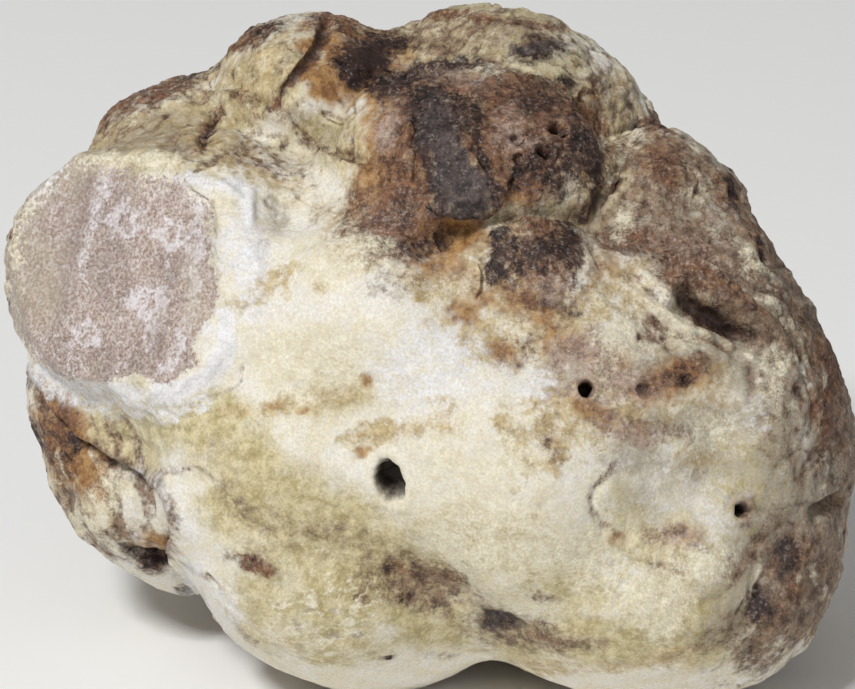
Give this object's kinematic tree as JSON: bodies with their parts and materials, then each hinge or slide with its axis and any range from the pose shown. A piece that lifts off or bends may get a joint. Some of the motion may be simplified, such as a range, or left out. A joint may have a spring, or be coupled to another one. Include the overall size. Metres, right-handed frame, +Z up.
{
  "type": "white truffle",
  "caption": "Knobbly pale truffle with rounded lobes, deep creases, worm holes and a worn patch of marbled flesh, resting on a small flat spot.",
  "frame": {"origin": "on the ground under the middle of the body", "axes": "+Z up, +X along the longest side, the worn patch and the smooth front face -Y"},
  "size_m": [0.0896, 0.0644, 0.0666],
  "materials": {
    "skin": "matte, waxy cream skin with brown stains"
  },
  "bodies": {
    "root": {"truffle": "skin"}
  },
  "joints": []
}
